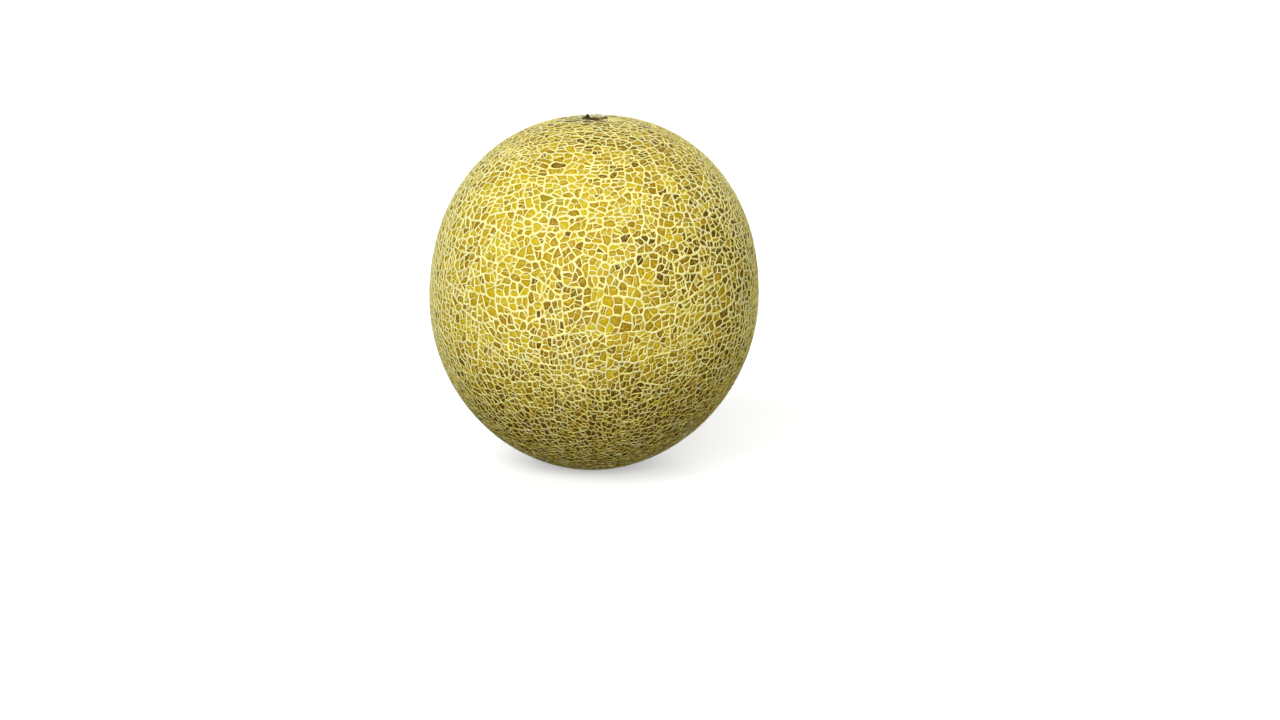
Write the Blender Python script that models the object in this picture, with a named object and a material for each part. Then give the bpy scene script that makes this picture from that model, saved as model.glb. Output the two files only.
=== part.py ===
"""A netted melon standing upright on its blossom end, as the one solid that the fruit is.

Units are metres and +Z is up. The origin is the middle of the flat spot that the fruit rests on. The
solid's surface is the envelope of the cork netting, so it holds everything that the fruit touches with.
"""

from math import acos, atan2, cos, radians, sin, tau

import bmesh
import bpy
from mathutils import Vector

# Overall sizes, with the cork netting included.
GIRTH_DIAMETER = 0.142
HEIGHT = 0.154
GIRTH_HEIGHT = 0.0745  # the widest level, above the surface that the fruit rests on

# The flat spot on the blossom end, where the fruit stands.
REST_SPOT_DIAMETER = 0.026

# The stem end: a shallow dip, with the low corky stub that the vine's stalk left in its middle.
STEM_DIP_DEPTH = 0.0010
STEM_DIP_RADIUS = 0.0100
SCAR_DIAMETER = 0.0110
SCAR_RIM_WIDTH = 0.0014
SCAR_RIM_RISE = 0.0018  # above the foot of the stub
SCAR_FLOOR_DROP = 0.0005  # below the stub's rim

# The shape's departures from a turned ellipse: 2 is an ellipse, and more than 2 is fuller.
CROWN_FULLNESS = 2.16
BLOSSOM_FULLNESS = 1.96
LEAN = 0.0016  # how far the crown stands to +X of the rest spot
# Shares of the radius by which the girth swells: how many swellings, their share, their turn.
SWELLINGS = ((2, 0.0050, radians(25)), (3, 0.0030, radians(110)), (5, 0.0015, radians(60)))

# How finely the surface is faceted.
SEGMENTS_ROUND = 72
SIDE_STEPS = 42
MERGE_DISTANCE = 1e-6
SHARP_ANGLE = radians(8)  # the rest spot's edge and the scar's rim are sharper than this

RIND_COLOUR = (0.560, 0.420, 0.100, 1.0)
RIND_ROUGHNESS = 0.55


def angle_at(radius, fullness):
    """The angle up or down from the girth at which the outline has narrowed to this radius."""
    return acos((radius / (GIRTH_DIAMETER / 2)) ** (fullness / 2))


def side_point(angle):
    """Radius and height on the outline. The angle is 0 at the girth and positive above it."""
    if angle > 0:
        radius = GIRTH_DIAMETER / 2 * cos(angle) ** (2 / CROWN_FULLNESS)
        rise = (HEIGHT - GIRTH_HEIGHT) * sin(angle) ** (2 / CROWN_FULLNESS)
        return radius, GIRTH_HEIGHT + rise - stem_dip(radius)
    # The half below the girth is cut by the floor where it is as wide as the rest spot.
    radius = GIRTH_DIAMETER / 2 * cos(angle) ** (2 / BLOSSOM_FULLNESS)
    floor_angle = angle_at(REST_SPOT_DIAMETER / 2, BLOSSOM_FULLNESS)
    drop = GIRTH_HEIGHT * (sin(-angle) / sin(floor_angle)) ** (2 / BLOSSOM_FULLNESS)
    return radius, GIRTH_HEIGHT - drop


def stem_dip(radius):
    """Depth of the dip round the stalk, a bell curve that fades outwards."""
    return STEM_DIP_DEPTH * 2.0 ** (-((radius / STEM_DIP_RADIUS) ** 2))


def outline():
    """(radius, height) from the rest spot's edge up the side to the edge of the stub's sunk top."""
    scar_radius = SCAR_DIAMETER / 2
    lowest = -angle_at(REST_SPOT_DIAMETER / 2, BLOSSOM_FULLNESS)
    highest = angle_at(scar_radius, CROWN_FULLNESS)
    points = [side_point(lowest + (highest - lowest) * step / SIDE_STEPS) for step in range(SIDE_STEPS + 1)]
    edge = points[-1][1]
    points += [
        (scar_radius - SCAR_RIM_WIDTH / 2, edge + SCAR_RIM_RISE),
        (scar_radius - SCAR_RIM_WIDTH, edge + SCAR_RIM_RISE - SCAR_FLOOR_DROP),
    ]
    # The dip takes a little off the crown, so what is above the girth is stretched to the full height.
    stretch = (HEIGHT - GIRTH_HEIGHT) / (max(height for _, height in points) - GIRTH_HEIGHT)
    return [
        (radius, GIRTH_HEIGHT + (height - GIRTH_HEIGHT) * stretch if height > GIRTH_HEIGHT else height)
        for radius, height in points
    ]


def grown(point):
    """The turned point as the fruit grew: swollen unevenly round its girth, and leaning a little."""
    turn = atan2(point.y, point.x)
    roundness = 4 * point.z * (HEIGHT - point.z) / HEIGHT**2  # 1 half way up, 0 at both ends
    swelling = sum(share * cos(count * (turn - start)) for count, share, start in SWELLINGS)
    scale = 1 + swelling * roundness
    return Vector((point.x * scale + LEAN * point.z / HEIGHT, point.y * scale, point.z))


def clear_scene():
    for old in list(bpy.data.objects):
        bpy.data.objects.remove(old)


def make_melon():
    """Spins the outline round +Z, closes both ends with flat faces, and lets the body grow uneven."""
    body = bmesh.new()
    profile = [body.verts.new((radius, 0.0, height)) for radius, height in outline()]
    edges = [body.edges.new(pair) for pair in zip(profile, profile[1:])]
    bmesh.ops.spin(
        body, geom=profile + edges, axis=(0, 0, 1), cent=(0, 0, 0),
        angle=tau, steps=SEGMENTS_ROUND, use_merge=True,
    )
    bmesh.ops.remove_doubles(body, verts=body.verts, dist=MERGE_DISTANCE)
    open_edges = [edge for edge in body.edges if edge.is_boundary]
    bmesh.ops.holes_fill(body, edges=open_edges, sides=0)
    for vertex in body.verts:
        vertex.co = grown(vertex.co)
    bmesh.ops.recalc_face_normals(body, faces=body.faces)

    mesh = bpy.data.meshes.new("melon")
    body.to_mesh(mesh)
    body.free()
    mesh.shade_smooth()
    mesh.set_sharp_from_angle(angle=SHARP_ANGLE)
    mesh.materials.append(rind_material())
    melon = bpy.data.objects.new("melon", mesh)
    bpy.context.scene.collection.objects.link(melon)
    return melon


def rind_material():
    material = bpy.data.materials.new("netted_rind")
    material.use_nodes = True
    shader = material.node_tree.nodes["Principled BSDF"]
    shader.inputs["Base Color"].default_value = RIND_COLOUR
    shader.inputs["Roughness"].default_value = RIND_ROUGHNESS
    shader.inputs["Metallic"].default_value = 0.0
    return material


clear_scene()
make_melon()
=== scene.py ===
"""A whole netted melon, ripe and yellow, standing on its blossom end on a pale floor."""

import bmesh
import bpy
import numpy as np
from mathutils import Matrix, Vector


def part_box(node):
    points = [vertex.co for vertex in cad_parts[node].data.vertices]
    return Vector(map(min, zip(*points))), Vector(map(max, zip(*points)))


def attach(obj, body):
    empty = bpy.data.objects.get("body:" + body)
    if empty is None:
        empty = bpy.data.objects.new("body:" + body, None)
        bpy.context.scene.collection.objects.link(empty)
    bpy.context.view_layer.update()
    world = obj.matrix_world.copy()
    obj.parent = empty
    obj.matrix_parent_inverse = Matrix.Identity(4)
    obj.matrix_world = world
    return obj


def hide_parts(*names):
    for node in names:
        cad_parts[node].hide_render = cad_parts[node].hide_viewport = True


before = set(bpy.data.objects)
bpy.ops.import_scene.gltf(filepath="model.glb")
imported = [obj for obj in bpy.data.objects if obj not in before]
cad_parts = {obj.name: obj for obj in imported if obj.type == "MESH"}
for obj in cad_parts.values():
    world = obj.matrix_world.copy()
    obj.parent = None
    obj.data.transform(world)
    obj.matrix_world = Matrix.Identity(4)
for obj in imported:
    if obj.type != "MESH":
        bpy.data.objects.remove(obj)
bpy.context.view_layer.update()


# ------------------------------------------------------------------------------------------- rind
# The rind is the fruit's thin, waxy yellow skin, grown in one piece with the flesh. It stopped
# stretching before the flesh did, so it tore into thousands of small meshes, and cork healed the
# tears. It lies a little under the cork, swells softly inside each mesh, and goes on under the cords.

GIRTH_HEIGHT = 0.0745  # the widest level
REST_SPOT_RADIUS = 0.013
CROWN_FULLNESS = 2.16  # 2 is an ellipse, and more is fuller in the shoulder
BLOSSOM_FULLNESS = 1.96
LEAN = 0.0016  # how far the crown stands to +X of the rest spot
SWELLINGS = ((2, 0.0050, 25), (3, 0.0030, 110), (5, 0.0015, 60))  # how many, share of the radius, turn
STEM_DIP_DEPTH = 0.0010
STEM_DIP_RADIUS = 0.0100
SCAR_RADIUS = 0.0055
SCAR_RISE = 0.0018  # how far the stalk's stub stands above the crown round it

lowest, highest = (np.array(corner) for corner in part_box("melon"))
HEIGHT = highest[2]
GIRTH_RADIUS = (highest - lowest)[:2].mean() / 2
MEAN_RADIUS = 0.0725  # turns a length on the unit sphere into metres on the fruit

RIND_DEPTH = 0.00037  # of the skin at a mesh's border, under the outline that the thickest cords reach
RIND_DOME = 0.00014  # how far the middle of a wide mesh swells above its border
FIRST_ROWS = 8  # of the widest pieces that the young skin tore into
FIRST_SPACING = 0.22  # radians between those pieces, in a row round the girth
FIRST_SCATTER = 0.022  # radians by which those pieces stray from their rows
# Collars of pieces round the stalk and the blossom: radians from the stalk, how many, turn of the first.
COLLARS = ((0.098, 14, -0.35), (0.205, 13, 0.1), (np.pi - 0.12, 7, 0.2))
COLLAR_SCATTER = (0.30, 0.020)  # along a collar as a share of its step, and across it in radians
MESH_AREA = 13.2e-6  # a mesh wider than about this tears again, so the mean is some 7 square mm
# Factors on that area, by height from -1 at the blossom to 1 at the stalk: the net is finer under the
# girth, and the meshes stay wide round the stalk.
AREA_UNDER_GIRTH = ([-0.60, 0.15], [0.68, 1])
AREA_AT_STALK = ([0.965, 0.99], [1, 1.7])
CRACK_LEAN = 0.10  # of a crack from square to its mesh's length, as a share
CRACK_SHIFT = 0.08  # of a crack from its mesh's middle, as a share of the length
CRACK_MARGIN = 0.26  # a crack ends at least this share of a line away from the line's nodes
YOUNGEST = 7  # the age from which all lines count as equally young
STATION_GAP = 0.0012  # between the points that a cord's line is drawn through


def waves(points, wavelength, seed, count=24):
    """Smooth noise of about unit spread: the sum of plane waves in random directions, of lengths round
    this wavelength and with random phases, divided by the root of half their number."""
    random = np.random.default_rng(seed)
    ways = random.normal(size=(count, 3))
    ways /= np.linalg.norm(ways, axis=1, keepdims=True)
    ways *= 2 * np.pi / wavelength * random.uniform(0.6, 1.5, (count, 1))
    return np.cos(points @ ways.T + random.uniform(0, 2 * np.pi, count)).sum(1) / np.sqrt(count / 2)


def unit(vectors):
    """The vectors divided by their lengths."""
    return vectors / np.linalg.norm(vectors, axis=-1, keepdims=True)


def stem_dip(radius):
    """Depth of the dip round the stalk: a bell curve of the distance from it."""
    return STEM_DIP_DEPTH * 2.0 ** (-((radius / STEM_DIP_RADIUS) ** 2))


def fruit_surface(directions, depth):
    """Points on the fruit in these directions from its middle, this deep under the netting's crests.

    The outline is a superellipse on each side of the girth: the radius is the cosine of the latitude to
    the power 2/fullness, and the rise its sine to that power. The floor cuts the lower half where it is
    as wide as the rest spot. The girth then swells by a few cosines of the turn, and the crown leans."""
    x, y, sine = directions.T
    cosine = np.hypot(x, y)
    turn = np.arctan2(y, x)
    upper = sine > 0
    power = np.where(upper, 2 / CROWN_FULLNESS, 2 / BLOSSOM_FULLNESS)
    radius = GIRTH_RADIUS * cosine**power
    crown = HEIGHT - SCAR_RISE + stem_dip(SCAR_RADIUS) - GIRTH_HEIGHT
    rest_cosine = (REST_SPOT_RADIUS / GIRTH_RADIUS) ** (BLOSSOM_FULLNESS / 2)
    base = GIRTH_HEIGHT / (1 - rest_cosine**2) ** (1 / BLOSSOM_FULLNESS)
    rise = np.abs(sine) ** power
    height = GIRTH_HEIGHT + np.where(upper, crown * rise - stem_dip(radius), -base * rise)
    height = np.maximum(height, 0)
    swelling = sum(
        share * np.cos(count * (turn - np.radians(start))) for count, share, start in SWELLINGS
    )
    radius = radius * (1 + swelling * 4 * height * (HEIGHT - height) / HEIGHT**2)
    points = np.stack([radius * np.cos(turn), radius * np.sin(turn), height], 1)
    half = np.where(upper, crown, base)
    outward = unit(points * [1, 1, 0] / GIRTH_RADIUS**2 + (sine / half)[:, None] * [0, 0, 1])
    points[:, 0] += LEAN * height / HEIGHT
    points -= outward * np.reshape(depth, (-1, 1))
    points[:, 2] = np.maximum(points[:, 2], 0)
    return points


def first_cells(sites):
    """The nodes and rings of the cells round sites on the unit sphere, each ring anticlockwise seen
    from outside. The sites' convex hull is cut into triangles, and each triangle's outward normal is a
    node. A site's ring is the nodes of the triangles round it, in order of their middles' turn."""
    hull = bmesh.new()
    for site in sites:
        hull.verts.new(site * 100)
    hull.verts.index_update()
    bmesh.ops.convex_hull(hull, input=hull.verts)
    bmesh.ops.triangulate(hull, faces=hull.faces)
    corners = np.array([[corner.index for corner in face.verts] for face in hull.faces])
    hull.free()
    a, b, c = sites[corners[:, 0]], sites[corners[:, 1]], sites[corners[:, 2]]
    normals = unit(np.cross(b - a, c - a))
    normals *= np.sign((normals * a).sum(1))[:, None]
    middles = a + b + c
    rings = []
    for index, site in enumerate(sites):
        round_it = np.flatnonzero((corners == index).any(1))
        east = unit(np.cross(site, [0.31, 0.27, 0.91]))
        turns = np.arctan2(middles[round_it] @ np.cross(site, east), middles[round_it] @ east)
        rings.append(round_it[np.argsort(turns)].tolist())
    return list(normals), rings


def sites_of_first_cells(random):
    """One site on each pole, collars of sites round them, and rows between the collars. The sites of a
    row stand closer together than the rows, so their cells meet in long lines round the fruit."""
    polar = np.linspace(0.37, np.pi - 0.37, FIRST_ROWS)
    counts = np.round(2 * np.pi * np.sin(polar) / FIRST_SPACING).astype(int)
    row = np.repeat(np.arange(FIRST_ROWS), counts)
    place = np.arange(len(row)) - np.repeat(np.cumsum(counts) - counts, counts)
    turn = 2 * np.pi * (place / counts[row] + random.uniform(0, 1, FIRST_ROWS)[row])
    r, z = np.sin(polar)[row], np.cos(polar)[row]
    sites = np.stack([r * np.cos(turn), r * np.sin(turn), z], 1)
    sites = unit(sites + random.normal(0, FIRST_SCATTER, sites.shape))
    along, across = COLLAR_SCATTER
    collars = [np.array([[0.0, 0.0, 1.0], [0.0, 0.0, -1.0]])]
    for polar, count, first in COLLARS:
        turn = first + (np.arange(count) + random.uniform(-along, along, count)) * 2 * np.pi / count
        polar = polar + random.uniform(-across, across, count)
        r = np.sin(polar)
        collars.append(np.stack([r * np.cos(turn), r * np.sin(turn), np.cos(polar)], 1))
    return np.concatenate([*collars, sites])


def area_of(corners):
    """Area of a small polygon on the fruit, in square metres: half the length of the sum of the cross
    products of its neighbouring corners' directions, times the mean radius squared."""
    return np.linalg.norm(np.cross(corners, np.roll(corners, -1, 0)).sum(0)) / 2 * MEAN_RADIUS**2


random = np.random.default_rng(11)
nodes, rings = first_cells(sites_of_first_cells(random))
owner = {}  # the mesh on the left of each line, walked from its first node to its second
for mesh, ring in enumerate(rings):
    for pair in zip(ring, ring[1:] + ring[:1]):
        owner[pair] = mesh
rank = {(min(pair), max(pair)): 0 for pair in owner}  # a line's age: 0 tore first


def halve_line(start, end, share):
    """Puts a new node this share of the way along a line, in the rings of the meshes beside it."""
    new = len(nodes)
    nodes.append(unit(nodes[start] * (1 - share) + nodes[end] * share))
    for a, b in ((start, end), (end, start)):
        mesh = owner.pop((a, b))
        rings[mesh].insert(rings[mesh].index(a) + 1, new)
        owner[a, new] = owner[new, b] = mesh
    age = rank.pop((min(start, end), max(start, end)))
    rank[min(start, new), max(start, new)] = rank[min(end, new), max(end, new)] = age
    return new


def tear(mesh, age):
    """Tears a mesh in two by a straight crack near its middle, more or less square to its longest way,
    that ends on two of its lines. Returns the new mesh."""
    ring = rings[mesh]
    corners = np.array([nodes[node] for node in ring])
    edges = np.roll(corners, -1, 0) - corners
    lengths = np.linalg.norm(edges, axis=1)[:, None]
    middles = corners + edges / 2
    middle = (middles * lengths).sum(0) / lengths.sum()
    # The skin over the shoulder is pulled downwards, so its meshes end up wider than they are high.
    # Those under the girth end up higher than they are wide.
    pull_down = [1, 1, 1.08 + 0.45 * np.clip(middle[2], -0.55, 0.9)]
    arms, edges = (middles - middle) * pull_down, edges * pull_down
    moments = (arms * lengths).T @ arms + (edges * lengths).T @ edges / 12
    short_way, long_way = np.linalg.eigh(moments)[1].T[1:]
    way = long_way + short_way * random.normal(0, CRACK_LEAN)
    along = (corners - middle) @ way
    along -= random.uniform(-CRACK_SHIFT, CRACK_SHIFT) * (along.max() - along.min())
    ahead = np.roll(along, -1)
    crossed = np.flatnonzero((along >= 0) != (ahead >= 0))[:2]
    cuts = [(ring[i], ring[(i + 1) % len(ring)], along[i] / (along[i] - ahead[i])) for i in crossed]
    first, second = (
        halve_line(a, b, min(max(share, CRACK_MARGIN), 1 - CRACK_MARGIN)) for a, b, share in cuts
    )
    ring = rings[mesh]
    ring = ring[ring.index(first):] + ring[:ring.index(first)]
    turn = ring.index(second)
    rings[mesh] = ring[: turn + 1]
    rings.append(ring[turn:] + [first])
    for node, after in zip(rings[-1], rings[-1][1:] + rings[-1][:1]):
        owner[node, after] = len(rings) - 1
    owner[second, first] = mesh
    rank[min(first, second), max(first, second)] = age
    return len(rings) - 1


# The skin tears from the widest pieces down, until each mesh is small enough for its place. The two
# meshes on the poles stay whole, and so do a few beside the stalk, which are numbered round it.
HEALED = (2, 3)  # right of the stalk, two that the cork has grown over
BARE = (10, 11, 13, 14)  # left of the stalk and in front of it, bare skin
WHOLE = (0, 1, *HEALED, *BARE)
waiting = [(mesh, 0) for mesh in range(len(rings)) if mesh not in WHOLE]
while waiting:
    mesh, age = waiting.pop()
    corners = np.array([nodes[node] for node in rings[mesh]])
    middle = corners.mean(0)
    limit = MESH_AREA * np.exp(random.normal(0, 0.12) + 0.09 * waves(middle[None], 0.45, 5)[0])
    limit *= np.interp(middle[2], *AREA_UNDER_GIRTH)
    limit *= 1 - 0.15 * max(middle[0], 0)  # and a little finer on the side to +X
    limit *= np.interp(middle[2], *AREA_AT_STALK)
    if area_of(corners) > limit:
        new = tear(mesh, age + 1)
        waiting += [(mesh, age + 1), (new, age + 1)]

half_lines = np.array([
    (mesh, a, b) for mesh, ring in enumerate(rings) for a, b in zip(ring, ring[1:] + ring[:1])
])
lines, line_of = np.unique(np.sort(half_lines[:, 1:], axis=1), axis=0, return_inverse=True)
line_of = line_of.reshape(-1)
age_of_line = np.minimum([rank[pair] for pair in map(tuple, lines.tolist())], YOUNGEST)
nodes = np.array(nodes)

# Each line pulls on its two nodes, and an old, thick cord pulls hardest: it stays nearly straight
# where a young one meets it, and the young one bends to meet it squarely.
PULL_BY_AGE = np.array([12, 12, 11, 9, 6, 2, 1.2, 1])
pull = PULL_BY_AGE[age_of_line][:, None]
drawn, weight = np.zeros_like(nodes), np.zeros((len(nodes), 1))
for here, there in (lines.T, lines.T[::-1]):
    np.add.at(drawn, here, pull * (nodes[there] - nodes[here]))
    np.add.at(weight, here, pull)
nodes = unit(nodes + 0.5 * drawn / weight)

# Points along the lines: the nodes, then the stations inside each line, which all bend with the skin.
BENDS = ((0.0012, 1.1, 11), (0.0003, 0.30, 21), (0.00018, 0.060, 31))  # how far, wavelength, seed
line_length = np.linalg.norm(nodes[lines[:, 0]] - nodes[lines[:, 1]], axis=1) * MEAN_RADIUS
steps = np.maximum(1, np.round(line_length / STATION_GAP)).astype(int)
inner_line = np.repeat(np.arange(len(lines)), steps - 1)
first_inner = len(nodes) + np.concatenate([[0], np.cumsum(steps - 1)[:-1]])
inner_step = len(nodes) + np.arange(len(inner_line)) - first_inner[inner_line] + 1
share = (inner_step / steps[inner_line])[:, None]
inner = nodes[lines[inner_line, 0]] * (1 - share) + nodes[lines[inner_line, 1]] * share
stations = unit(np.concatenate([nodes, inner]))
for size, wavelength, seed in BENDS:
    sway = np.stack([waves(stations, wavelength, seed + axis) for axis in range(3)], 1)
    stations = unit(stations + sway * size / MEAN_RADIUS)

# The rings of the meshes, station by station, one after the other in one long list.
repeats = steps[line_of]
walk = np.repeat(np.arange(len(half_lines)), repeats)
walk_step = np.arange(len(walk)) - np.repeat(np.cumsum(repeats) - repeats, repeats)
forward = half_lines[walk, 1] == lines[line_of[walk], 0]
walk_line = line_of[walk]
inside = first_inner[walk_line] + np.where(forward, walk_step - 1, steps[walk_line] - 1 - walk_step)
ring_station = np.where(walk_step == 0, half_lines[walk, 1], inside)
ring_mesh = half_lines[walk, 0]


def neighbours(mesh_of):
    """Where each entry's follower and forerunner in the same ring stand in the list."""
    count = np.bincount(mesh_of)
    first = np.cumsum(count) - count
    place = np.arange(len(mesh_of)) - first[mesh_of]
    after = first[mesh_of] + (place + 1) % count[mesh_of]
    before = first[mesh_of] + (place - 1) % count[mesh_of]
    return after, before, first


ring_after, ring_before, ring_first = neighbours(ring_mesh)
mesh_middle = unit(np.add.reduceat(stations[ring_station], ring_first))
mesh_east = unit(np.cross([0.0, 0.0, 1.0], mesh_middle + [1e-9, 0, 0]))
mesh_north = np.cross(mesh_middle, mesh_east)
offset = stations[ring_station] - mesh_middle[ring_mesh]
x = (offset * mesh_east[ring_mesh]).sum(1)
y = (offset * mesh_north[ring_mesh]).sum(1)
slant, excess = np.add.reduceat(x * y, ring_first), np.add.reduceat(x * x - y * y, ring_first)
turn = np.arctan2(2 * slant, excess) / 2
mesh_long = mesh_east * np.cos(turn)[:, None] + mesh_north * np.sin(turn)[:, None]
mesh_wide = np.cross(mesh_middle, mesh_long)
ring_x = (offset * mesh_long[ring_mesh]).sum(1) * MEAN_RADIUS
ring_y = (offset * mesh_wide[ring_mesh]).sum(1) * MEAN_RADIUS
half_wide, half_long = (np.maximum.reduceat(np.abs(way), ring_first) for way in (ring_y, ring_x))
mesh_slimness = np.minimum(half_wide / half_long, 1)
mesh_span = np.sqrt(np.add.reduceat(ring_x**2 + ring_y**2, ring_first) / np.bincount(ring_mesh))


def drawn_in(entries, share):
    """Directions of ring entries drawn this share of the way in from the border. The width shrinks by
    the share and the length by as much in metres, so a long mesh shrinks to a spine, not to a point."""
    mesh = ring_mesh[entries]
    x = ring_x[entries] * (1 - share * mesh_slimness[mesh]) / MEAN_RADIUS
    y = ring_y[entries] * (1 - share) / MEAN_RADIUS
    return unit(mesh_middle[mesh] + mesh_long[mesh] * x[:, None] + mesh_wide[mesh] * y[:, None])


# The cork's width and height along every line. The oldest cords are the thickest, and a node is a
# little thicker than the thickest cord that meets there. The cords are thinner under the girth, and
# thinner and flatter on the crown.
WIDTH_BY_AGE = np.array([1.36, 1.32, 1.22, 1.12, 0.96, 0.73, 0.58, 0.49]) / 1000
WIDTH_BY_HEIGHT = ([-0.60, 0.15, 0.72, 0.90, 0.97, 0.985], [0.84, 0.98, 0.98, 0.86, 0.80, 0.56])
THINNEST, THICKEST = 0.0003, 0.0019
RISE_BY_WIDTH = ([THINNEST, 0.0005, 0.0011, THICKEST], [0.00013, 0.00019, 0.00028, 0.00033])
RISE_BY_HEIGHT = ([0.55, 0.90, 0.97, 0.99], [1, 0.55, 0.45, 0.30])
NODE_SWELLING = 1.2
line_width = WIDTH_BY_AGE[age_of_line] * np.exp(random.normal(0, 0.20, len(lines)))
line_width *= np.interp(nodes[lines, 2].mean(1), *WIDTH_BY_HEIGHT)
width = np.zeros(len(stations))
for end in lines.T:
    np.maximum.at(width, end, line_width)
width *= NODE_SWELLING
width[len(nodes):] = line_width[inner_line]
width *= 1 + 0.20 * waves(stations, 0.035, 41) + 0.08 * waves(stations, 0.5, 42)
width = np.clip(width, THINNEST, THICKEST)
cork_rise = np.interp(width, *RISE_BY_WIDTH)
cork_rise *= 1 + 0.08 * waves(stations, 0.03, 43)
cork_rise *= np.interp(stations[:, 2], *RISE_BY_HEIGHT)

# How far in each ring entry's cord reaches, as a share of the way to the mesh's spine. In a sharp
# corner it reaches further, because the cork fills corners out round.
LEAST_FOOT, MOST_FOOT = 0.06, 0.72
HEALED_FOOT = 0.985  # a healed mesh is all cork
to_after = np.stack([ring_x[ring_after] - ring_x, ring_y[ring_after] - ring_y], 1)
to_before = np.stack([ring_x[ring_before] - ring_x, ring_y[ring_before] - ring_y], 1)
across = unit(to_after - to_before)
distance = across[:, 1] * ring_x * mesh_slimness[ring_mesh] - across[:, 0] * ring_y
half_turn = np.sqrt((1 - (unit(to_after) * unit(to_before)).sum(1)).clip(0.08, 2) / 2)
meets = line_width[walk_line] / 2 + line_width[walk_line[ring_before]] / 2
ring_width = np.where(walk_step == 0, meets, width[ring_station])
reach = ring_width / 2 * (1 + 0.4 * (1 / half_turn - 1))
ring_foot = reach / np.maximum(distance, 0.00025)
ring_foot = (ring_foot[ring_before] + 6 * ring_foot + ring_foot[ring_after]) / 8
ring_foot *= np.exp(random.normal(0, 0.13, len(ring_foot)))  # the cords' edges are ragged
ring_foot = np.clip(ring_foot, LEAST_FOOT, MOST_FOOT)
healed = np.isin(ring_mesh, HEALED)
ring_foot[healed] = HEALED_FOOT


def make_piece(name, points, *faces):
    """A mesh object of these points and arrays of faces, three or four points to a face, smooth."""
    mesh = bpy.data.meshes.new(name)
    sizes = np.concatenate([np.full(len(group), group.shape[1]) for group in faces])
    mesh.vertices.add(len(points))
    mesh.vertices.foreach_set("co", points.astype(np.float32).ravel())
    mesh.loops.add(int(sizes.sum()))
    corners = np.concatenate([group.ravel() for group in faces])
    mesh.loops.foreach_set("vertex_index", corners.astype(np.int32))
    mesh.polygons.add(len(sizes))
    mesh.polygons.foreach_set("loop_start", (np.cumsum(sizes) - sizes).astype(np.int32))
    mesh.update(calc_edges=True)
    mesh.validate()
    mesh.shade_smooth()
    piece = bpy.data.objects.new(name, mesh)
    bpy.context.scene.collection.objects.link(piece)
    return piece


def paint(piece, name, red, green, blue):
    """Stores three numbers from 0 to 1 at each point, for the material to read by this name."""
    colours = np.stack([red, green, blue, np.ones(len(red))], 1)
    layer = piece.data.color_attributes.new(name, "FLOAT_COLOR", "POINT")
    layer.data.foreach_set("color", colours.clip(0, 1).astype(np.float32).ravel())


# The rind's own points: each mesh's border at the nodes, a ring just inside the cork, and a middle.
UNDER_CORDS = 0.00025  # how much deeper the skin lies under the cords
BRIM_SHARE = 0.16  # of the way from the cork's foot to the mesh's spine
corner_entries = np.flatnonzero(walk_step == 0)
corner_mesh = ring_mesh[corner_entries]
corner_after = neighbours(corner_mesh)[0]
corner_station = ring_station[corner_entries]
used, border = np.unique(corner_station, return_inverse=True)
border = border.reshape(-1)
brim = len(used) + np.arange(len(corner_entries))
middle = len(used) + len(corner_entries) + corner_mesh
dome = RIND_DOME * np.minimum(mesh_span / 0.002, 1.4)
dome[list(HEALED)] = -RIND_DOME
brim_share = ring_foot[corner_entries] + BRIM_SHARE * (1 - ring_foot[corner_entries])
rind_points = np.concatenate([
    fruit_surface(stations[used], RIND_DEPTH + UNDER_CORDS),
    fruit_surface(drawn_in(corner_entries, brim_share), RIND_DEPTH - 0.35 * RIND_DOME),
    fruit_surface(mesh_middle, RIND_DEPTH - dome),
])
walls = np.stack([border, border[corner_after], brim[corner_after], brim], 1)
roofs = np.stack([brim, brim[corner_after], middle], 1)
rind = make_piece("rind", rind_points, walls, roofs)

# The tone of each mesh's skin, from clear yellow at 0 to brown at 1. Painted shade makes it darker to
# the lower right and low down, so it is clearest to the upper left. The skin has aged most round the
# stalk and in a few more places, and is still greenish in one.
AGED_PLACES = (  # direction, half width in radians, how far aged
    ((0.80, -0.45, 0.43), 0.32, 0.34), ((0.26, -0.86, 0.44), 0.10, 0.30),
    ((0.95, -0.20, -0.10), 0.35, 0.30), ((-0.68, -0.15, 0.72), 0.28, 0.36),
    ((-0.90, -0.12, 0.38), 0.26, 0.24), ((0.60, 0.75, 0.20), 0.30, 0.22),
    ((-0.55, 0.70, -0.30), 0.25, 0.18),
)
UNRIPE_PLACE, UNRIPE_SPREAD = (-0.30, -0.75, 0.59), 0.11
SHADED_SIDE = (0.70, 0.10, -0.70)  # the way in which the skin is painted darker, as shade
shade_side_share = mesh_middle @ unit(np.array(SHADED_SIDE))
tone = 0.26 + 0.12 * random.normal(size=len(rings)) + 0.05 * waves(mesh_middle, 0.30, 51) + 0.20 * shade_side_share
tone += 0.30 * np.clip((mesh_middle[:, 2] - 0.70) / 0.25, 0, 1)
beside_stalk = np.clip((mesh_middle[:, 2] - 0.975) / 0.015, 0, 1)
# Painted shade: the skin is darker low down.
painted_shade_low = np.clip((-mesh_middle[:, 2] - 0.15) / 0.65, 0, 1)
tone += beside_stalk * random.uniform(0.20, 0.55, len(rings)) + 0.50 * painted_shade_low
for way, spread, much in AGED_PLACES:
    nearness = np.exp(-((np.linalg.norm(mesh_middle - unit(np.array(way)), axis=1) / spread) ** 2))
    tone += nearness * much * random.uniform(0, 1.6, len(rings))
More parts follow.
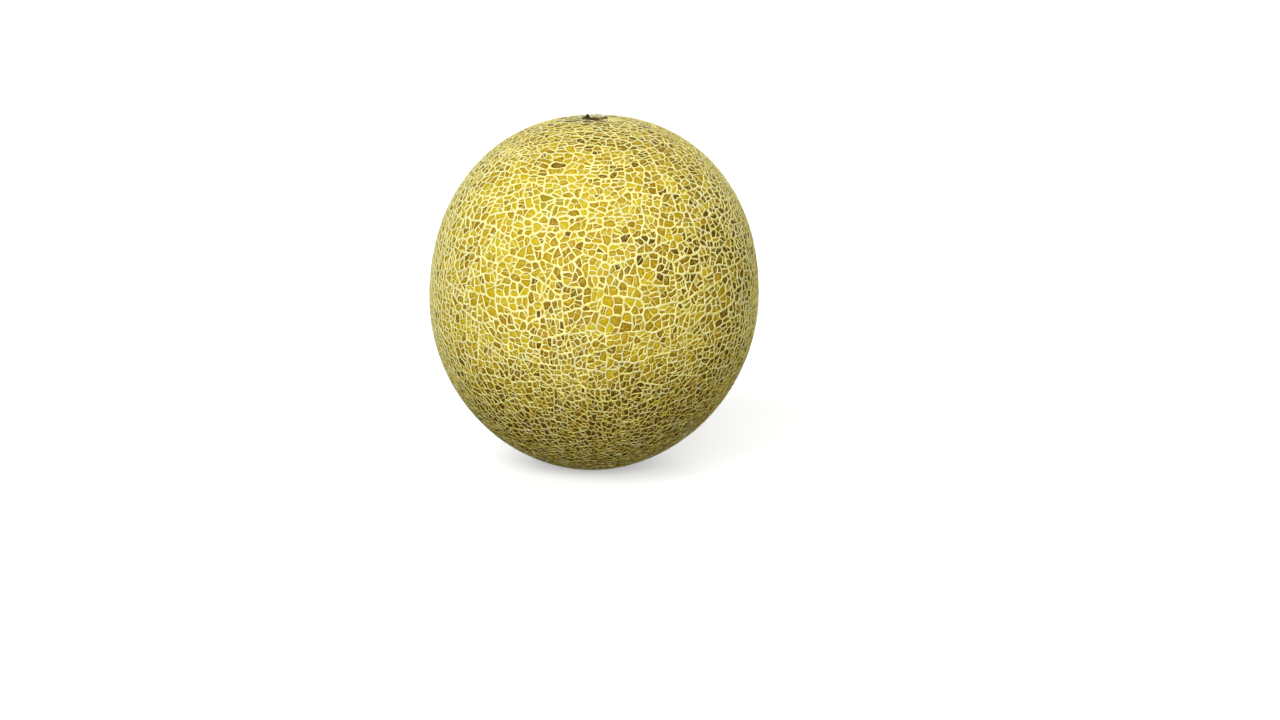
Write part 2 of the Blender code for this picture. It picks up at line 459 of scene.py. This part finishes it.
# A few meshes aged at random, a little more often on the side painted darker as shade.
aged_and_shaded = random.uniform(size=len(rings)) < 0.03 + 0.03 * waves(mesh_middle, 0.40, 53) + 0.03 * shade_side_share
tone += aged_and_shaded * random.uniform(0.12, 0.35, len(rings))
unripe = np.linalg.norm(mesh_middle - unit(np.array(UNRIPE_PLACE)), axis=1)
green = 0.42 + 0.12 * waves(mesh_middle, 0.25, 52) + 0.10 * random.normal(size=len(rings))
green += 0.40 * np.exp(-((unripe / UNRIPE_SPREAD) ** 2))
green += beside_stalk * random.uniform(0.05, 0.45, len(rings))
node_tone = np.bincount(border, tone[corner_mesh]) / np.bincount(border)
node_green = np.bincount(border, green[corner_mesh]) / np.bincount(border)
# The second number is 1 on each mesh's border and 0.85 on the ring inside the cork: the material paints
# shade there, beside the cords.
paint(
    rind, "skin",
    np.concatenate([node_tone, tone[corner_mesh], tone]),
    np.concatenate([np.ones(len(used)), np.full(len(corner_entries), 0.85), np.zeros(len(rings))]),
    np.concatenate([node_green, green[corner_mesh], green]),
)


def linear(code):
    """Linear red, green, blue and alpha of an sRGB hex colour."""
    parts = np.array([int(code[i:i + 2], 16) / 255 for i in (1, 3, 5)])
    parts = np.where(parts <= 0.04045, parts / 12.92, ((parts + 0.055) / 1.055) ** 2.4)
    return (*parts.tolist(), 1.0)


def add_node(tree, kind, inputs=(), **settings):
    """Adds a node with these settings. inputs maps a socket's name or number to a value or to an output
    of another node."""
    made = tree.nodes.new(kind)
    for name, value in settings.items():
        setattr(made, name, value)
    for socket, value in dict(inputs).items():
        if isinstance(value, bpy.types.NodeSocket):
            tree.links.new(value, made.inputs[socket])
        else:
            made.inputs[socket].default_value = value
    return made


def fill_ramp(ramp, *stops):
    """Gives a ColorRamp these (place, hex colour) stops."""
    elements = ramp.color_ramp.elements
    while len(elements) < len(stops):
        elements.new(1.0)
    for element, (place, code) in zip(elements, stops):
        element.position = place
        element.color = linear(code)


def ripe_rind():
    """Ripe melon skin: a thin cuticle, grown and never cut, with a faint wax. It is clear yellow where
    it is young and amber to brown where it aged, in whole meshes, with pores too fine to see singly.
    Painted shade darkens it too: to the lower right, low down and at each mesh's border by the cords."""
    material = bpy.data.materials.new("ripe_rind")
    material.use_nodes = True
    tree = material.node_tree
    shader = tree.nodes["Principled BSDF"]
    place = add_node(tree, "ShaderNodeTexCoord").outputs["Object"]
    skin = add_node(tree, "ShaderNodeAttribute", attribute_name="skin").outputs["Color"]
    parts = add_node(tree, "ShaderNodeSeparateColor", {"Color": skin})
    # Blotches about 1 mm across inside the meshes, with finer ones in them.
    blotch = add_node(
        tree, "ShaderNodeTexNoise", {"Vector": place, "Scale": 900.0, "Detail": 5.0, "Roughness": 0.75}
    )
    lifted = add_node(tree, "ShaderNodeMath", {0: blotch.outputs["Fac"], 1: 0.75}, operation="MULTIPLY")
    # The tone from the skin attribute carries age and painted shade, with the blotches added.
    aged_and_shaded = add_node(
        tree, "ShaderNodeMath", {0: parts.outputs["Red"], 1: lifted.outputs[0]}, operation="ADD"
    )
    # Painted shade: the skin darkens steeply towards each mesh's border, beside the cords.
    steep = add_node(tree, "ShaderNodeMath", {0: parts.outputs["Green"], 1: 2.5}, operation="POWER")
    edge_shade = add_node(tree, "ShaderNodeMath", {0: steep.outputs[0], 1: 0.16}, operation="MULTIPLY")
    edge_shaded = add_node(tree, "ShaderNodeMath", {0: aged_and_shaded.outputs[0], 1: edge_shade.outputs[0]}, operation="ADD")
    ramp = add_node(tree, "ShaderNodeValToRGB", {"Fac": edge_shaded.outputs[0]})
    fill_ramp(ramp, (0.25, "#cbbf10"), (0.52, "#bea00a"), (0.80, "#937005"), (1.0, "#5a3f04"))
    # Some districts keep a trace of the unripe green.
    leaf = add_node(
        tree, "ShaderNodeMapRange", {"Value": parts.outputs["Blue"], 1: 0.62, 2: 1.0, 4: 0.6}
    )
    tinted = add_node(
        tree, "ShaderNodeMix", {0: leaf.outputs[0], 6: ramp.outputs["Color"], 7: linear("#807810")},
        data_type="RGBA",
    )
    # Flecks of young cork, some 0.4 mm across, where the skin is about to tear again.
    speck = add_node(tree, "ShaderNodeTexNoise", {"Vector": place, "Scale": 2000.0, "Detail": 2.0})
    fleck = add_node(
        tree, "ShaderNodeMapRange", {"Value": speck.outputs["Fac"], 1: 0.56, 2: 0.68, 4: 0.48}
    )
    flecked = add_node(
        tree, "ShaderNodeMix", {0: fleck.outputs[0], 6: tinted.outputs[2], 7: linear("#ddd06a")},
        data_type="RGBA",
    )
    tree.links.new(flecked.outputs[2], shader.inputs["Base Color"])
    # The wax is worn unevenly, in patches of about 4 mm.
    wax = add_node(tree, "ShaderNodeTexNoise", {"Vector": place, "Scale": 250.0, "Detail": 2.0})
    rough = add_node(tree, "ShaderNodeMapRange", {"Value": wax.outputs["Fac"], 3: 0.50, 4: 0.68})
    tree.links.new(rough.outputs[0], shader.inputs["Roughness"])
    shader.inputs["IOR"].default_value = 1.40
    shader.inputs["Specular IOR Level"].default_value = 0.15
    # Pores 0.4 mm apart.
    pores = add_node(tree, "ShaderNodeTexVoronoi", {"Vector": place, "Scale": 2500.0})
    bump = add_node(
        tree, "ShaderNodeBump",
        {"Height": pores.outputs["Distance"], "Strength": 0.25, "Distance": 0.0001},
    )
    tree.links.new(bump.outputs["Normal"], shader.inputs["Normal"])
    return material


rind.data.materials.append(ripe_rind())
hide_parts("melon")
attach(rind, "root")


# ---------------------------------------------------------------------------------------- netting
# The netting is cork, which the rind grew in its tears as a scab. Its cords are round-backed, thick
# where they tore first and thin where they tore last, and they flow together at every node. One net
# covers the fruit. It is drawn in four sectors, each a closed shell with its cut faces in the cords.

SECTORS = 4
KEEL_DEPTH = 0.00045  # of a cord's underside, under the skin
FOOT_DEPTH = 0.00012  # of a cord's foot, under the skin
HEALED_RISE = 0.7  # the sheet over a healed mesh stands this share of its cords' rise
HEALED_TONE = 0.45
CORD_SHADE_SIDE = (0.60, 0.10, -0.75)  # the way in which the cords are painted darker, as shade
# The half profile from the crest to the foot: share of the half width, share of the rise.
PROFILE = ((0.0, 1.0), (0.62, 0.76), (1.0, 0.0))

turn_of_mesh = np.arctan2(mesh_middle[:, 1], mesh_middle[:, 0])
sector_of_mesh = ((turn_of_mesh / (2 * np.pi) + 0.5) * SECTORS).astype(int) % SECTORS
sector_of_mesh[:2] = -1  # the scars fill the meshes on the poles
node_share = np.zeros(len(stations))
node_share[: len(nodes)] = np.clip(width[: len(nodes)] / 0.0011, 0, 1)
line_place = nodes[lines].mean(1)
# Each cord's tone varies at random. Painted shade makes it darker to the lower right and much darker
# underneath. It is also darker on the crown and paler right by the stalk.
line_tone = random.normal(0.62, 0.15, len(lines))
line_tone = line_tone - 0.32 * line_place @ unit(np.array(CORD_SHADE_SIDE))
line_tone -= 0.30 * np.interp(line_place[:, 2], [0.60, 0.95, 0.98, 0.99], [0, 1, 1, -0.3])
line_tone -= 0.75 * np.clip((-line_place[:, 2] - 0.20) / 0.60, 0, 1)
cork_tone = np.concatenate([np.zeros(len(nodes)), line_tone[inner_line]])
for end in lines.T:
    cork_tone[end] = line_tone


def make_netting(sector, material):
    """One sector of the netting. Round every mesh of it run rows of points: the crest on the ring
    itself, then the profile's rows drawn in towards the mesh's middle, the foot just under the skin, and
    the keel under the crest. Neighbouring meshes share crests and keels."""
    inside = np.flatnonzero(sector_of_mesh[ring_mesh] == sector)
    local = np.full(len(ring_mesh), -1)
    local[inside] = np.arange(len(inside))
    after = local[ring_after[inside]]
    station, shared = np.unique(ring_station[inside], return_inverse=True)
    shared = shared.reshape(-1)
    crest_depth = RIND_DEPTH - cork_rise
    rows, points = [shared], [fruit_surface(stations[station], crest_depth[station])]
    tones = [np.zeros(len(station))]
    for across_share, rise_share in PROFILE[1:]:
        rows.append(sum(map(len, points)) + np.arange(len(inside)))
        directions = drawn_in(inside, ring_foot[inside] * across_share)
        sheet = np.where(healed[inside], np.maximum(rise_share, HEALED_RISE), rise_share)
        depth = RIND_DEPTH - cork_rise[ring_station[inside]] * sheet + FOOT_DEPTH * (sheet == 0)
        points.append(fruit_surface(directions, depth))
        tones.append(np.full(len(inside), across_share))
    rows.append(sum(map(len, points)) + shared)
    points.append(fruit_surface(stations[station], RIND_DEPTH + KEEL_DEPTH))
    tones.append(np.ones(len(station)))
    strips = [
        np.stack([here, here[after], there[after], there], 1) for here, there in zip(rows, rows[1:])
    ]
    # A wall from keel to crest closes the shell along its border, where only one side is inside.
    ends = np.stack([ring_station[inside], ring_station[ring_after[inside]]], 1)
    codes = ends[:, 0] * len(stations) + ends[:, 1]
    single = ~np.isin(codes, ends[:, 1] * len(stations) + ends[:, 0])
    keel, crest = rows[-1], rows[0]
    wall = np.stack([keel, keel[after], crest[after], crest], 1)[single]
    piece = make_piece(f"netting_{sector + 1}", np.concatenate(points), *strips, wall)
    drawn_rows = len(PROFILE) - 1
    entry_station = np.concatenate([station] + [ring_station[inside]] * drawn_rows + [station])
    rough = np.zeros(len(station))
    smooth = np.concatenate([rough] + [healed[inside].astype(float)] * drawn_rows + [rough])
    tone = np.where(smooth > 0, HEALED_TONE, cork_tone[entry_station])
    clump = np.maximum(node_share[entry_station], smooth)
    paint(piece, "cork", tone, clump, np.concatenate(tones) * (1 - smooth))
    piece.data.materials.append(material)
    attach(piece, "root")
    return piece


def dry_cork():
    """Cork of a healed rind: dead, dry, matt cells, pale lemon on the cords and greyer in the clumps at
    the nodes, darker and yellower down the flanks, where the skin shows through and painted shade
    darkens each cord's foot. Painted shade also darkens the cords to the lower right and underneath.
    Its grain is some 0.3 mm."""
    material = bpy.data.materials.new("dry_cork")
    material.use_nodes = True
    tree = material.node_tree
    shader = tree.nodes["Principled BSDF"]
    place = add_node(tree, "ShaderNodeTexCoord").outputs["Object"]
    cork = add_node(tree, "ShaderNodeAttribute", attribute_name="cork").outputs["Color"]
    parts = add_node(tree, "ShaderNodeSeparateColor", {"Color": cork})
    mottle = add_node(tree, "ShaderNodeTexNoise", {"Vector": place, "Scale": 420.0, "Detail": 4.0})
    tone = add_node(
        tree, "ShaderNodeMath", {0: parts.outputs["Red"], 1: 0.5, 2: mottle.outputs["Fac"]},
        operation="MULTIPLY_ADD",
    )
    ramp = add_node(tree, "ShaderNodeValToRGB", {"Fac": tone.outputs[0]})
    fill_ramp(ramp, (0.36, "#a08028"), (0.62, "#d8ca64"), (0.78, "#eae186"), (1.0, "#f6f1aa"))
    clump = add_node(tree, "ShaderNodeTexNoise", {"Vector": place, "Scale": 180.0, "Detail": 2.0})
    grey = add_node(
        tree, "ShaderNodeMapRange", {"Value": clump.outputs["Fac"], 1: 0.45, 2: 0.7, 4: 0.8}
    )
    greyed = add_node(
        tree, "ShaderNodeMath", {0: grey.outputs[0], 1: parts.outputs["Green"]}, operation="MULTIPLY"
    )
    clumped = add_node(
        tree, "ShaderNodeMix", {0: greyed.outputs[0], 6: ramp.outputs["Color"], 7: linear("#d3d1a0")},
        data_type="RGBA",
    )
    # Down the flanks the skin shows through, and painted shade darkens the foot of each cord.
    flank_and_shade = add_node(
        tree, "ShaderNodeMapRange", {"Value": parts.outputs["Blue"], 1: 0.66, 2: 1.0, 4: 0.7}
    )
    flanked_and_shaded = add_node(
        tree, "ShaderNodeMix", {0: flank_and_shade.outputs[0], 6: clumped.outputs[2], 7: linear("#947814")},
        data_type="RGBA",
    )
    tree.links.new(flanked_and_shaded.outputs[2], shader.inputs["Base Color"])
    shader.inputs["Roughness"].default_value = 0.85
    shader.inputs["IOR"].default_value = 1.4
    shader.inputs["Specular IOR Level"].default_value = 0.25
    grain = add_node(tree, "ShaderNodeTexNoise", {"Vector": place, "Scale": 3200.0, "Detail": 3.0})
    bump = add_node(
        tree, "ShaderNodeBump", {"Height": grain.outputs["Fac"], "Strength": 0.5, "Distance": 0.00015}
    )
    tree.links.new(bump.outputs["Normal"], shader.inputs["Normal"])
    return material


cork_material = dry_cork()
for sector in range(SECTORS):
    make_netting(sector, cork_material)


# ------------------------------------------------------------------------------------- side veins
# Side veins are the last, hair-thin tears, healed with a thread of the same cork. Some cross a mesh
# from cord to cord, and the others run out in it. Each is a closed thread half sunk in the skin, with
# a diamond for its section.

VEIN_WIDTHS = (0.00024, 0.00044)
VEIN_STEPS = 3  # sections along a vein
VEIN_SECTION = ((1, 0), (0, 1), (-1, 0), (0, -1))  # sideways and up, in half widths
CHANCE_BY_AREA = ([0.4e-6, 1.6e-6], [0.30, 0.88])  # wide meshes are the likeliest to have a vein
CROSSING_SHARE = 0.45

vein_random = np.random.default_rng(61)
vein_area = mesh_span**2 * mesh_slimness
chance = np.interp(vein_area, *CHANCE_BY_AREA)
torn_again = (vein_random.uniform(size=len(rings)) < chance) & ~np.isin(np.arange(len(rings)), WHOLE)
vein_mesh = np.flatnonzero(torn_again)
ring_count = np.bincount(ring_mesh)
vein_start = (vein_random.uniform(size=len(vein_mesh)) * ring_count[vein_mesh]).astype(int)
vein_turn = vein_random.uniform(0.36, 0.64, len(vein_mesh)) * ring_count[vein_mesh]
vein_end = (vein_start + np.round(vein_turn).astype(int)) % ring_count[vein_mesh]
vein_start, vein_end = ring_first[vein_mesh] + vein_start, ring_first[vein_mesh] + vein_end
crosses = vein_random.uniform(size=len(vein_mesh)) < CROSSING_SHARE
vein_reach = np.where(crosses, 1.0, vein_random.uniform(0.40, 0.70, len(vein_mesh)))
vein_width = vein_random.uniform(*VEIN_WIDTHS, len(vein_mesh))
vein_bow = vein_random.normal(0, 0.10, len(vein_mesh))


def vein_points(share, side, lift):
    """Points of every vein this share of its way along, moved sideways and up by these shares of half
    its width. The way is a straight line across the mesh, bowed by a sine, and the half width tapers to
    a point where the vein runs out."""
    along = share * vein_reach
    start = np.stack([ring_x[vein_start], ring_y[vein_start]], 1)
    way = np.stack([ring_x[vein_end], ring_y[vein_end]], 1) - start
    square = np.stack([-way[:, 1], way[:, 0]], 1)
    half = vein_width / 2 * np.where(crosses, 1, np.sqrt(1.02 - share))
    here = start + way * along[:, None] + square * (vein_bow * np.sin(np.pi * along))[:, None]
    here += unit(square) * (half * side)[:, None]
    x, y = here.T / MEAN_RADIUS
    directions = unit(
        mesh_middle[vein_mesh] + mesh_long[vein_mesh] * x[:, None] + mesh_wide[vein_mesh] * y[:, None]
    )
    depth = RIND_DEPTH - RIND_DOME * np.sin(np.pi * along) - half * lift
    return fruit_surface(directions, depth)


shares = np.linspace(0, 1, VEIN_STEPS)
sections = [vein_points(share, side, lift) for share in shares for side, lift in VEIN_SECTION]
tips = [vein_points(-0.03, 0, 0), vein_points(1.015, 0, 0)]
count = len(vein_mesh)
grid = np.arange(4 * VEIN_STEPS * count).reshape(VEIN_STEPS, 4, count)
near, far = grid[:-1], grid[1:]
sleeves = np.stack([near, np.roll(near, -1, 1), np.roll(far, -1, 1), far], -1).reshape(-1, 4)
tip = 4 * VEIN_STEPS * count + np.arange(2 * count).reshape(2, 1, count).repeat(4, 1)
first_fan = np.stack([np.roll(grid[0], -1, 0), grid[0], tip[0]], -1).reshape(-1, 3)
last_fan = np.stack([grid[-1], np.roll(grid[-1], -1, 0), tip[1]], -1).reshape(-1, 3)
side_veins = make_piece("side_veins", np.concatenate(sections + tips), sleeves, first_fan, last_fan)
vein_tone = np.tile(vein_random.normal(0.45, 0.2, count), 4 * VEIN_STEPS + 2)
paint(side_veins, "cork", vein_tone, np.zeros(len(vein_tone)), np.full(len(vein_tone), 0.3))
side_veins.data.materials.append(cork_material)
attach(side_veins, "root")


# ------------------------------------------------------------------------------------------ scars
# The stem scar is where the ripe fruit came off its stalk: a low stub of dead, fissured cork, on which
# the torn ends of the stalk's sap vessels stand as ragged little cups with dark hollows. The blossom
# scar under the fruit is smaller and flat.

SCAR_RINGS, SCAR_SEGMENTS = 64, 192
STEM_PLATE, BLOSSOM_PLATE = 0.0065, 0.0052  # radii
PLATE_DEPTH = 0.0025  # of a plate's underside, at its middle
STUB_FIELD = 0.0042  # radius within which the torn vessels stand
VESSELS = 12
VESSEL_RADII = (0.00070, 0.00115)
VESSEL_HEIGHTS = (0.0013, 0.0020)
VESSEL_WALL = 0.00018
HOLLOW_DEPTH = FISSURE_DEPTH = 0.00035
KNOB_PLACE, KNOB_RADIUS, KNOB_HEIGHT = (-0.0033, -0.0012), 0.0010, 0.0016  # a torn, blackened flap


def make_scar(name, end, radius, relief, material):
    """A closed plate on one pole. end is 1 at the stem and -1 at the blossom. The rows run from the
    middle out to the radius, and relief gives each point's rise over the fruit's surface and its paint
    from its share of the radius, its turn and its place. The underside closes to one point."""
    share = (np.arange(1, SCAR_RINGS + 1) / SCAR_RINGS)[:, None] * np.ones(SCAR_SEGMENTS)
    turn = np.ones((SCAR_RINGS, 1)) * np.arange(SCAR_SEGMENTS) * 2 * np.pi / SCAR_SEGMENTS
    share, turn = np.append(share.ravel(), 0.0), np.append(turn.ravel(), 0.0)
    fullness = CROWN_FULLNESS if end > 0 else BLOSSOM_FULLNESS
    cosine = (share * radius / GIRTH_RADIUS) ** (fullness / 2)
    sine = end * np.sqrt(1 - cosine**2)
    directions = np.stack([cosine * np.cos(turn), cosine * np.sin(turn), sine], 1)
    flat = np.stack([share * np.cos(turn), share * np.sin(turn), np.zeros(len(turn))], 1) * radius
    rise, red, green = relief(share, turn, flat)
    points = fruit_surface(directions, -rise)
    under_point = fruit_surface(np.array([[0.0, 0.0, float(end)]]), [PLATE_DEPTH])
    points = np.concatenate([points, under_point])
    grid = np.arange(SCAR_RINGS * SCAR_SEGMENTS).reshape(SCAR_RINGS, SCAR_SEGMENTS)
    near, far = grid[:-1], grid[1:]
    bands = np.stack([near, far, np.roll(far, -1, 1), np.roll(near, -1, 1)], -1).reshape(-1, 4)
    top, under = grid.size, grid.size + 1
    inner = np.stack([grid[0], np.roll(grid[0], -1), np.full(SCAR_SEGMENTS, top)], 1)
    outer = np.stack([np.roll(grid[-1], -1), grid[-1], np.full(SCAR_SEGMENTS, under)], 1)
    if end < 0:
        bands, inner, outer = bands[:, ::-1], inner[:, ::-1], outer[:, ::-1]
    piece = make_piece(name, points, bands, inner, outer)
    paint(piece, "scar", np.append(red, 0.0), np.append(green, 0.0), np.zeros(len(red) + 1))
    piece.data.materials.append(material)
    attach(piece, "root")
    return piece


def bell(share, middle, spread):
    """A bell curve: 1 at the middle, and 1/e at the spread on either side of it."""
    return np.exp(-(((share - middle) / spread) ** 2))


def stem_relief(share, turn, flat):
    """The torn vessels stand on a sunflower spiral. Each is a ring-shaped wall, a bell curve of the
    distance from its middle, with a hollow inside. A fissured skirt round them dives under the net. The
    fissures are where a noise passes through nothing."""
    cups = np.random.default_rng(74)
    order = np.arange(VESSELS)
    away = STUB_FIELD * np.sqrt((order + 0.4) / VESSELS)
    middles = np.stack([away * np.cos(order * 2.4), away * np.sin(order * 2.4)], 1)
    middles += cups.normal(0, 0.0002, middles.shape)
    wide = cups.uniform(*VESSEL_RADII, VESSELS)
    tall = cups.uniform(*VESSEL_HEIGHTS, VESSELS) * (1 - 0.30 * (away / STUB_FIELD) ** 2)
    distance = np.linalg.norm(flat[:, None, :2] - middles, axis=2)
    walls = tall * bell(distance, wide, VESSEL_WALL)
    wall = walls.max(1) * (0.85 + 0.20 * waves(flat, 0.0011, 75))
    hollow = (distance < wide).any(1)
    spokes = np.stack([np.cos(turn) * 3, np.sin(turn) * 3, share * 1.2], 1)
    fissure = np.exp(-((waves(spokes, 2.4, 71) / 0.16) ** 2)) * bell(share, 0.75, 0.25)
    hem = 0.80 + 0.05 * waves(spokes, 1.6, 73)  # the ragged line where the skirt dives under the net
    lumps = waves(flat, 0.0016, 72)
    # A low rim with lumps inside it, then the cups, and the skirt that sinks from the hem outwards.
    rise = 0.00030 * bell(share, 0.78, 0.12) + 0.00016 * lumps * bell(share, 0.4, 0.5)
    rise += wall - FISSURE_DEPTH * fissure - HOLLOW_DEPTH * hollow
    rise -= 0.0002 + 0.0013 * np.clip((share - hem) / (1 - hem), 0, 1) ** 1.5
    knob = 1 - (np.linalg.norm(flat[:, :2] - KNOB_PLACE, axis=1) / KNOB_RADIUS) ** 2
    on_knob = knob > 0
    knob_rise = KNOB_HEIGHT * np.sqrt(knob.clip(0)) + 0.00012 * lumps
    rise = np.where(on_knob, np.maximum(rise, knob_rise), rise)
    rise = np.minimum(rise, SCAR_RISE - 0.00005)
    # The cups' rims are bleached palest, their hollows are painted darkest as shade, the fissures are
    # painted darker as shade, and the skirt is pale to +X.
    crest = (walls / tall).max(1)
    pale = 0.08 + 0.90 * crest**2.5 + 0.08 * lumps - 0.15 * hollow * (crest < 0.6)
    skirt = np.clip((share - 0.68) / 0.15, 0, 1)
    pale += skirt * (0.06 + 0.35 * np.cos(turn).clip(0)) - 0.2 * fissure
    return rise, np.where(on_knob, 0.05, pale), fissure


def blossom_relief(share, turn, flat):
    """A shallow plate with a low rim, a button in the middle and short cracks outwards."""
    spokes = np.stack([np.cos(turn) * 2, np.sin(turn) * 2, share], 1)
    fissure = np.exp(-((waves(spokes, 2.2, 81) / 0.14) ** 2))
    rise = -0.00045 + 0.00016 * bell(share, 0.7, 0.14) + 0.00012 * bell(share, 0.0, 0.16)
    rise += 0.00004 * waves(flat, 0.0015, 82) - 0.00018 * fissure * bell(share, 0.5, 0.3)
    rise -= 0.0009 * np.clip((share - 0.82) / 0.18, 0, 1) ** 1.5
    # Painted shade: the cracks are darker.
    return rise, 0.42 + 0.3 * bell(share, 0.7, 0.15) - 0.4 * fissure, fissure


def weathered_cork():
    """Old stalk tissue: dead, dry and cracked cork, grey-brown and bleached on its ridges, with painted
    shade nearly black in its fissures and hollows. Its grain is coarse, some 0.7 mm with finer ones in
    it."""
    material = bpy.data.materials.new("weathered_cork")
    material.use_nodes = True
    tree = material.node_tree
    shader = tree.nodes["Principled BSDF"]
    place = add_node(tree, "ShaderNodeTexCoord").outputs["Object"]
    scar = add_node(tree, "ShaderNodeAttribute", attribute_name="scar").outputs["Color"]
    parts = add_node(tree, "ShaderNodeSeparateColor", {"Color": scar})
    grain = add_node(tree, "ShaderNodeTexNoise", {"Vector": place, "Scale": 1500.0, "Detail": 4.0})
    spread = add_node(tree, "ShaderNodeMapRange", {"Value": grain.outputs["Fac"], 3: -0.25, 4: 0.25})
    tone = add_node(
        tree, "ShaderNodeMath", {0: parts.outputs["Red"], 1: spread.outputs[0]}, operation="ADD"
    )
    ramp = add_node(tree, "ShaderNodeValToRGB", {"Fac": tone.outputs[0]})
    fill_ramp(ramp, (0.02, "#171206"), (0.25, "#564718"), (0.50, "#9c9263"), (0.80, "#e0dbb0"))
    tree.links.new(ramp.outputs["Color"], shader.inputs["Base Color"])
    shader.inputs["Roughness"].default_value = 0.9
    shader.inputs["IOR"].default_value = 1.4
    bump = add_node(
        tree, "ShaderNodeBump", {"Height": grain.outputs["Fac"], "Strength": 0.7, "Distance": 0.0003}
    )
    tree.links.new(bump.outputs["Normal"], shader.inputs["Normal"])
    return material


scar_material = weathered_cork()
make_scar("stem_scar", 1, STEM_PLATE, stem_relief, scar_material)
make_scar("blossom_scar", -1, BLOSSOM_PLATE, blossom_relief, scar_material)


# ----------------------------------------------------------------------------------------- studio
# A plain pale floor, a white surround and four soft lamps. The main ones are on the upper left in
# front and straight in front. The camera looks a little down on the fruit through a long lens.

FLOOR_SIZE = 14.0
CAMERA_ELEVATION = np.radians(11)
CAMERA_DISTANCE = 1.30
SENSOR_WIDTH = 36.0  # millimetres
SCALE_IN_FRAME = 64.996875  # sensor millimetres for each metre at the fruit's middle
SHIFT_IN_FRAME = (0.03765625, -0.05484375)  # shares of the frame's width

corners = np.array([[-1, -1, 0], [1, -1, 0], [1, 1, 0], [-1, 1, 0]]) * FLOOR_SIZE / 2
floor = make_piece("floor", corners, np.array([[0, 1, 2, 3]]))
paper = bpy.data.materials.new("matt_white_paper")
paper.use_nodes = True
paper_inputs = paper.node_tree.nodes["Principled BSDF"].inputs
paper_inputs["Base Color"].default_value = linear("#f7f7f5")
paper_inputs["Roughness"].default_value = 0.9
paper_inputs["Emission Strength"].default_value = 0.38
paper_inputs["Emission Color"].default_value = linear("#ffffff")
floor.data.materials.append(paper)
floor.visible_diffuse = False  # black flags keep the paper's light off the underside of the fruit
floor.visible_glossy = False

scene = bpy.context.scene
scene.view_settings.view_transform = "Standard"
world = bpy.data.worlds.new("studio")
scene.world = world
world.use_nodes = True
room = world.node_tree
walls = room.nodes["Background"]
walls.inputs["Color"].default_value = (1.0, 1.0, 1.0, 1.0)
way = add_node(room, "ShaderNodeTexCoord").outputs["Generated"]
height_in_room = add_node(room, "ShaderNodeSeparateXYZ", {"Vector": way}).outputs["Z"]
fill = add_node(
    room, "ShaderNodeMapRange", {"Value": height_in_room, 1: -1.0, 2: 1.0, 3: 0.02, 4: 0.22}
)
room.links.new(fill.outputs[0], walls.inputs["Strength"])
paper_white = add_node(room, "ShaderNodeBackground", {"Color": (0.9, 0.9, 0.9, 1.0)})
straight = add_node(room, "ShaderNodeLightPath").outputs["Is Camera Ray"]
both = add_node(
    room, "ShaderNodeMixShader", {0: straight, 1: walls.outputs[0], 2: paper_white.outputs[0]}
)
room.links.new(both.outputs[0], room.nodes["World Output"].inputs["Surface"])


def aim(thing, place, target):
    """Puts a lamp or the camera at a place, looking at the target."""
    thing.location = place
    thing.rotation_euler = (Vector(target) - Vector(place)).to_track_quat("-Z", "Y").to_euler()
    scene.collection.objects.link(thing)


# A soft box from the upper left, a wider one from the front, a weak one overhead, and one behind:
# name, strength, width in radians as the fruit sees it, place from the fruit's middle.
LAMPS = (
    ("soft_box", 1.82, 0.7, (-1.0, -1.3, 1.15)),
    ("front_fill", 2.35, 0.8, (0.30, -2.0, 0.70)),
    ("top_light", 0.05, 1.0, (0.0, -0.5, 2.0)),
    ("back_light", 1.9, 1.2, (0.5, 2.0, 0.7)),
)
middle_of_fruit = (0.0, 0.0, HEIGHT / 2)
for name, energy, width_of_box, place in LAMPS:
    lamp = bpy.data.lights.new(name, "SUN")
    lamp.energy = energy
    lamp.angle = width_of_box
    aim(bpy.data.objects.new(name, lamp), np.array(place) + middle_of_fruit, middle_of_fruit)

lens = bpy.data.cameras.new("camera")
lens.sensor_width = SENSOR_WIDTH
lens.lens = SCALE_IN_FRAME * CAMERA_DISTANCE
lens.shift_x, lens.shift_y = SHIFT_IN_FRAME
lens.dof.use_dof = False
camera = bpy.data.objects.new("camera", lens)
away = np.array([0.0, -np.cos(CAMERA_ELEVATION), np.sin(CAMERA_ELEVATION)])
aim(camera, np.array(middle_of_fruit) + away * CAMERA_DISTANCE, middle_of_fruit)
scene.camera = camera
